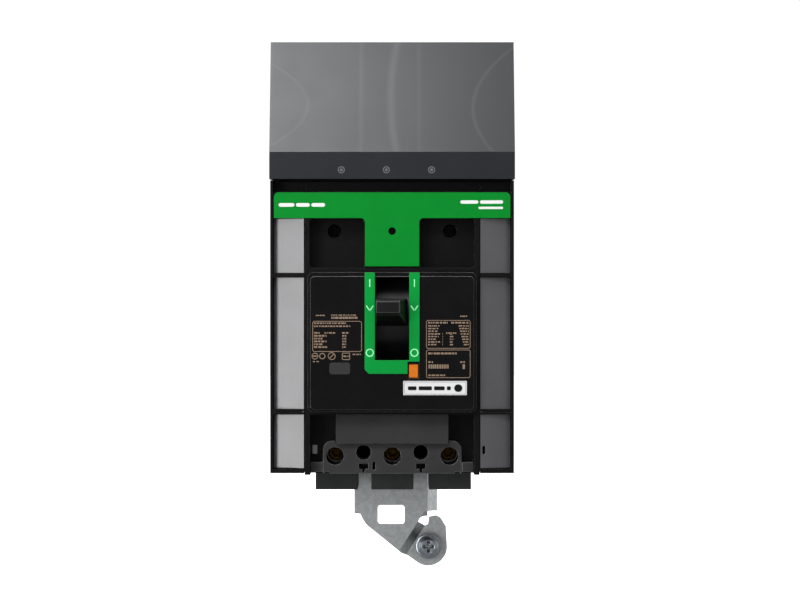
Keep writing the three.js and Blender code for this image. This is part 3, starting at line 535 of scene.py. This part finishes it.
def left_print(bm, y0, y1):
    """Rating plate, notes above it and approval signs below it, left of the toggle."""
    border(bm, *LEFT_PLATE, 1.0, 0.3, y0, y1)
    word_rows(bm, LEFT_HEADINGS, y0, y1)
    for row in range(5):
        z = -17.1 - 1.32 * row
        word_row(bm, -36.4, random.uniform(-33.4, -30), z, 0.8, y0, y1)
        word_row(bm, -23.3, -21.4, z, 0.75, y0, y1)
    word_rows(bm, LEFT_NOTES, y0, y1)
    ring(bm, -36.0, -26.2, 1.55, 0.35, y0, y1)
    slab(bm, rounded_outline(-37.0, -35.0, -26.5, -25.9, 0.2), y0, y1)
    ring(bm, -32.6, -26.2, 1.45, 0.4, y0, y1)
    ring(bm, -28.2, -26.2, 1.8, 0.35, y0, y1)
    stroke(bm, [(-29.3, -27.3), (-27.1, -25.1)], 0.4, y0, y1)
    border(bm, -23.4, -19.6, -28.0, -24.6, 0.5, 0.35, y0, y1)
    word_rows(bm, LEFT_FOOTNOTES, y0, y1)


def right_print(bm, y0, y1):
    """Two plates, one above the other, right of the toggle."""
    for plate in RIGHT_PLATES:
        border(bm, *plate, 0.9, 0.28, y0, y1)
    word_rows(bm, RIGHT_HEADINGS, y0, y1)
    for row in range(8):
        z = -12.4 - 1.25 * row
        word_row(bm, 16.8, random.uniform(20.6, 23.0), z, 0.65, y0, y1)
        word_row(bm, 31.0 + 0.35 * row, 35.8, z, 0.65, y0, y1)
        if row > 2:
            word_row(bm, 27.0, 28.6, z, 0.65, y0, y1)
            stroke(bm, [(23.6, z + 0.1), (23.6, z + 0.7)], 0.2, y0, y1)
    word_rows(bm, RIGHT_NOTES, y0, y1)
    slab(bm, rounded_outline(32.9, 34.0, -32.2, -30.0, 0.2), y0, y1)
    word_rows(bm, RIGHT_FOOTNOTES, y0, y1)


def rating_labels():
    bm = bmesh.new()
    left_print(bm, *on_face(FACE))
    right_print(bm, *on_face(FACE))
    add_print("rating_print", bm, "beige_ink")


def rocker_marks():
    """Generic I, arrow and O marks down each side of the toggle."""
    y0, y1 = on_face(RING_FACE)
    bm = bmesh.new()
    for x in (-10.4, 10.4):
        stroke(bm, [(x, 6.3), (x, 9.5)], 0.5, y0, y1)
        stroke(bm, [(x - 1.5, -2.8), (x, -5.0), (x + 1.5, -2.8)], 0.55, y0, y1)
        ring(bm, x, -24.6, 1.9, 0.5, y0, y1)
    add_print("position_marks", bm, "pale_ink")


def fascia_blocks():
    """White blocks where a maker would print a name."""
    y0, y1 = on_face(FASCIA_FACE)
    bm = bmesh.new()
    for x0, x1 in ((-53.2, -45.8), (-45.0, -38.6), (-37.8, -31.4)):
        slab(bm, rounded_outline(x0, x1, 43.7, 45.4, 0.8), y0, y1)
    for x0, x1 in ((32.0, 40.4), (41.2, 52.0)):
        slab(bm, rounded_outline(x0, x1, 45.1, 46.7, 0.8), y0, y1)
    slab(bm, rounded_outline(40.4, 52.0, 42.6, 43.7, 0.55), y0, y1)
    add_print("fascia_blocks", bm, "white_ink")


def plain_label():
    """The white label, with plain bars in place of a name."""
    bm = bmesh.new()
    slab(bm, rounded_outline(*WHITE_LABEL, 0.35), FACE - LABEL, FACE + SUNK)
    add_print("white_label", bm, "label_white")
    bm = bmesh.new()
    y0, y1 = on_face(FACE - LABEL)
    border(bm, *LABEL_BORDER, 0.2, 0.14, y0, y1)
    for x0, x1 in ((7.4, 11.4), (12.4, 18.6), (19.6, 24.6), (25.6, 27.4)):
        slab(bm, rounded_outline(x0, x1, -42.1, -40.3, 0.5), y0, y1)
    slab(bm, rounded_outline(29.0, 32.8, -42.9, -39.4, 1.7, 6), y0, y1)
    add_print("white_label_print", bm, "black_ink")


def test_patch():
    bm = bmesh.new()
    slab(bm, rounded_outline(*TEST_PATCH, 1.2), *on_face(FACE))
    add_print("test_patch", bm, "mark_grey")


def ejector_marks():
    """Round marks that the mold's ejector pins leave on the band of the line-end cover."""
    bm = bmesh.new()
    y0, y1 = on_face(BAND_FACE)
    for x in (-23.8, -2.7, 18.5):
        ring(bm, x, 61.0, 1.65, 0.45, y0, y1)
        slab(bm, arc(x, 61.0, 0.7, 0, 345, 23), y0 + 0.02, y1)
    add_print("ejector_marks", bm, "ejector")


def recess_window():
    """Small pale grey block beside the terminal cover, in the load end recess: painted light, for a lit
    patch that shows there.
    """
    seat = high("terminal_cover").y / MM
    bm = bmesh.new()
    slab(bm, rounded_outline(-37.8, -35.5, -72.9, -68.7, 0.3), seat - 1.6, seat - 0.1)
    add_bevel(add_piece("recess_window", bm, "recess_painted_light", "case"), 0.15, EDGE_ANGLE)


rating_labels()
rocker_marks()
fascia_blocks()
plain_label()
test_patch()
ejector_marks()
recess_window()


# ---- screws and springs ----------------------------------------------------------------------
def star(inner, outer, lobes=6):
    """Radius of a star recess by angle."""
    return lambda a: inner + (outer - inner) * (0.5 + 0.5 * math.cos(lobes * a)) ** 1.5


def cross(width, reach):
    """Radius of a four-way recess by angle."""
    def radius(a):
        near = abs((a + math.pi / 4) % (math.pi / 2) - math.pi / 4)
        return min(reach, width / 2 / max(math.sin(near), 1e-3)) if near > 1e-3 else reach
    return radius


def threaded(r, depth, start, end, pitch):
    """Profile rows of a rolled thread along y."""
    rows = []
    y = start
    while y < end - pitch:
        rows += [(r, y), (r - depth, y + pitch / 2)]
        y += pitch
    return rows + [(r, y), (r - depth, end), (0, end)]


def axis_of(node):
    """Where the node's Y axis runs, as (x, z) in millimetres."""
    return middle(node).x / MM, middle(node).z / MM


def front_and_back(node):
    return low(node).y / MM, high(node).y / MM


def radius_of(node):
    return (high(node).x - low(node).x) / 2 / MM


THREAD_DEPTH = 0.35
PAN_SHANK, PAN_PITCH = 2.9, 1.0
LUG_SHANK, LUG_PITCH = 3.8, 1.25
WASHER_HOLE = 3.3
BRACKET_SCREW_Z = (40, -26, -62)


def pan_screw():
    """The bracket's captive screw, with a four-way recess and a collar."""
    front, back = front_and_back("pan_screw")
    seat = low("pan_screw_washer").y / MM - 0.3
    reach = radius_of("pan_screw")
    rows = [(0, front + 1.9), (cross(0.9, 1.6), front + 1.9), (cross(1.5, 2.9), front + 0.1),
            (3.4, front), (reach - 1.5, front + 0.35), (reach - 0.4, front + 1.1), (reach, front + 1.9),
            (reach, seat - 0.2), (reach - 0.2, seat), (3.0, seat)]
    bm = bmesh.new()
    rows += threaded(PAN_SHANK, THREAD_DEPTH, seat + 0.3, back, PAN_PITCH)
    lathe(bm, axis_of("pan_screw"), rows, 64)
    screw = add_piece("pan_screw_detailed", bm, "screw_zinc", "pan_screw", ["pan_screw"])
    add_bevel(screw, 0.12, EDGE_ANGLE)


def pan_washer():
    front, back = front_and_back("pan_screw_washer")
    outer = radius_of("pan_screw_washer")
    rows = [(WASHER_HOLE, front), (outer - 0.2, front), (outer, front + 0.2), (outer, back - 0.2),
            (outer - 0.2, back), (WASHER_HOLE, back), (WASHER_HOLE, front)]
    bm = bmesh.new()
    lathe(bm, axis_of("pan_screw"), rows, 48)
    bmesh.ops.remove_doubles(bm, verts=bm.verts, dist=1e-6)
    add_piece("pan_washer_detailed", bm, "screw_zinc", "pan_washer", ["pan_screw_washer"])


def bracket_screws():
    """Countersunk screws that hold the bracket to the base, flush with its rear face."""
    rows = [(0, -1.5), (cross(0.8, 1.2), -1.5), (cross(1.1, 2.0), -0.2), (2.6, -0.12), (2.85, -0.3),
            (2.0, -2.2), (0, -2.2)]
    bm = bmesh.new()
    for z in BRACKET_SCREW_Z:
        lathe(bm, (0, z), rows, 48)
    add_bevel(add_piece("bracket_screws", bm, "screw_zinc", "case"), 0.06, EDGE_ANGLE)


def lug_screws():
    """Set screws with a star recess, seen through the holes of the terminal cover."""
    for pole in POLES:
        node = f"lug_screw_{pole}"
        front, back = front_and_back(node)
        rows = [(0, front + 4.0), (star(1.5, 2.0), front + 4.0), (star(1.7, 2.3), front + 0.15),
                (2.7, front), (3.4, front), (LUG_SHANK, front + 0.5)]
        rows += threaded(LUG_SHANK, THREAD_DEPTH, front + 1.2, back, LUG_PITCH)
        bm = bmesh.new()
        lathe(bm, axis_of(node), rows, 48)
        add_bevel(add_piece(f"{node}_detailed", bm, "brass", node, [node]), 0.08, EDGE_ANGLE)


def coil(name, start, end, radius, wire, turns, body, stands_for):
    """A closed-end coil spring between two points, millimetres."""
    start, end = Vector(start), Vector(end)
    along = (end - start).normalized()
    side = along.orthogonal().normalized()
    other = along.cross(side)
    steps, sides = int(turns * 14), 6   # points along the coil, and round the wire
    bm = bmesh.new()
    rows = []
    for i in range(steps + 1):
        a = 2 * math.pi * turns * i / steps
        out = side * math.cos(a) + other * math.sin(a)
        at = start + (end - start) * (i / steps) + out * radius
        rows.append([bm.verts.new((at + (out * math.cos(b) + along * math.sin(b)) * wire / 2) * MM)
                     for b in (2 * math.pi * k / sides for k in range(sides))])
    for a, b in zip(rows, rows[1:]):
        for k in range(sides):
            m = (k + 1) % sides
            bm.faces.new((a[k], a[m], b[m], b[k]))
    bm.faces.new(reversed(rows[0]))
    bm.faces.new(rows[-1])
    bmesh.ops.recalc_face_normals(bm, faces=bm.faces)
    add_piece(name, bm, "spring", body, stands_for)


TOGGLE_LEAN = 6.6                       # how far the toggle leans up at rest, degrees


def springs():
    node = "trip_button_spring"
    x, z = axis_of(node)
    front, back = front_and_back(node)
    coil("trip_spring_coil", (x, front + 0.3, z), (x, back - 0.3, z), 1.75, 0.4, 9, "case", [node])
    lean = math.radians(TOGGLE_LEAN)
    half = Vector((0, -math.cos(lean), math.sin(lean))) * 7
    for side in ("left", "right"):
        node = f"main_spring_{side}"
        centre = middle(node) / MM
        coil(f"{node}_coil", centre - half, centre + half, 1.45, 0.6, 10, "toggle", [node])


pan_screw()
pan_washer()
bracket_screws()
lug_screws()
springs()


# ---- floor, light and camera -----------------------------------------------------------------
FLOOR_CORNERS = ((-3, -2), (3, -2), (3, 3), (-3, 3))
FLOOR_GAP = 0.0005                      # the floor lies this far below the object
SEEN, LIT = 1.05, 0.4                   # the white surround, as the camera sees it and as it lights
LIGHTS_AIM = Vector((0, -0.05, 0))
# Name, azimuth and elevation in degrees, distance, width and height, and power.
SOFTBOXES = (
    ("left_box", (-32, -6), 1.1, (0.34, 0.8), 6.2),
    ("right_box", (32, 26), 1.2, (0.3, 0.9), 0.8),
    ("top_box", (-21, 36), 1.3, (0.8, 0.34), 10.4),
    ("overhead", (0, 80), 1.2, (0.9, 0.9), 16.0),
    ("left_edge", (-88, 0), 1.2, (0.5, 0.9), 2.4),
    ("right_edge", (88, 0), 1.2, (0.5, 0.9), 1.2),
)
CAMERA_DISTANCE = 1.1                   # from the front plane of the wings
CAMERA_SIDE = 0.0037                    # the camera stands this far right of the middle
FIELD_WIDTH = 0.375                     # width seen at the front plane
SENSOR_WIDTH = 36                       # of the camera, in its own millimetres


def floor():
    """Pale floor that the camera sees, but that throws no light back up at the breaker."""
    bm = bmesh.new()
    bm.faces.new([bm.verts.new((x, y, 0)) for x, y in FLOOR_CORNERS])
    mesh = bpy.data.meshes.new("floor")
    bm.to_mesh(mesh)
    bm.free()
    obj = bpy.data.objects.new("floor", mesh)
    obj.location.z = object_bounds()[0].z - FLOOR_GAP
    bpy.context.scene.collection.objects.link(obj)
    s = Shader("pale_floor")
    s.set(Roughness=0.9, Specular_IOR_Level=0.0, Emission_Color=(1, 1, 1, 1), Emission_Strength=1.0)
    s.colour(s.mix(s.noise(0.004, 2), (0.84, 0.84, 0.84), (0.86, 0.86, 0.86)))
    mesh.materials.append(s.material)
    obj.visible_glossy = False
    obj.visible_diffuse = False
    obj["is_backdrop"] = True


def world():
    """White surround, dimmer as a light than as the camera sees it."""
    w = bpy.data.worlds.new("studio")
    bpy.context.scene.world = w
    w.use_nodes = True
    tree = w.node_tree
    seen = tree.nodes["Background"]
    lit = tree.nodes.new("ShaderNodeBackground")
    for node, strength in ((seen, SEEN), (lit, LIT)):
        node.inputs["Color"].default_value = (1, 1, 1, 1)
        node.inputs["Strength"].default_value = strength
    path = tree.nodes.new("ShaderNodeLightPath")
    blend = tree.nodes.new("ShaderNodeMixShader")
    tree.links.new(path.outputs["Is Camera Ray"], blend.inputs[0])
    tree.links.new(lit.outputs[0], blend.inputs[1])
    tree.links.new(seen.outputs[0], blend.inputs[2])
    tree.links.new(blend.outputs[0], tree.nodes["World Output"].inputs["Surface"])


def softbox(name, direction, distance, size, power):
    """An area light, placed by azimuth and elevation from straight in front, that faces the object."""
    azimuth, elevation = (math.radians(d) for d in direction)
    out = Vector((math.sin(azimuth) * math.cos(elevation), -math.cos(azimuth) * math.cos(elevation),
                  math.sin(elevation)))
    light = bpy.data.lights.new(name, "AREA")
    light.shape = "RECTANGLE"
    light.size, light.size_y = size
    light.energy = power
    obj = bpy.data.objects.new(name, light)
    obj.location = LIGHTS_AIM + out * distance
    obj.rotation_mode = "QUATERNION"
    obj.rotation_quaternion = out.to_track_quat("Z", "Y")
    bpy.context.scene.collection.objects.link(obj)


def camera():
    """Straight in front, as in the photo."""
    cam = bpy.data.cameras.new("camera")
    cam.sensor_width = SENSOR_WIDTH
    cam.lens = SENSOR_WIDTH * CAMERA_DISTANCE / FIELD_WIDTH
    cam.clip_start, cam.clip_end = 0.01, 20
    obj = bpy.data.objects.new("camera", cam)
    obj.location = (CAMERA_SIDE, low("wing_left").y - CAMERA_DISTANCE, 0)
    obj.rotation_euler = (math.pi / 2, 0, 0)
    bpy.context.scene.collection.objects.link(obj)
    bpy.context.scene.camera = obj


floor()
world()
for box in SOFTBOXES:
    softbox(*box)
camera()
bpy.context.scene.view_settings.view_transform = "Standard"
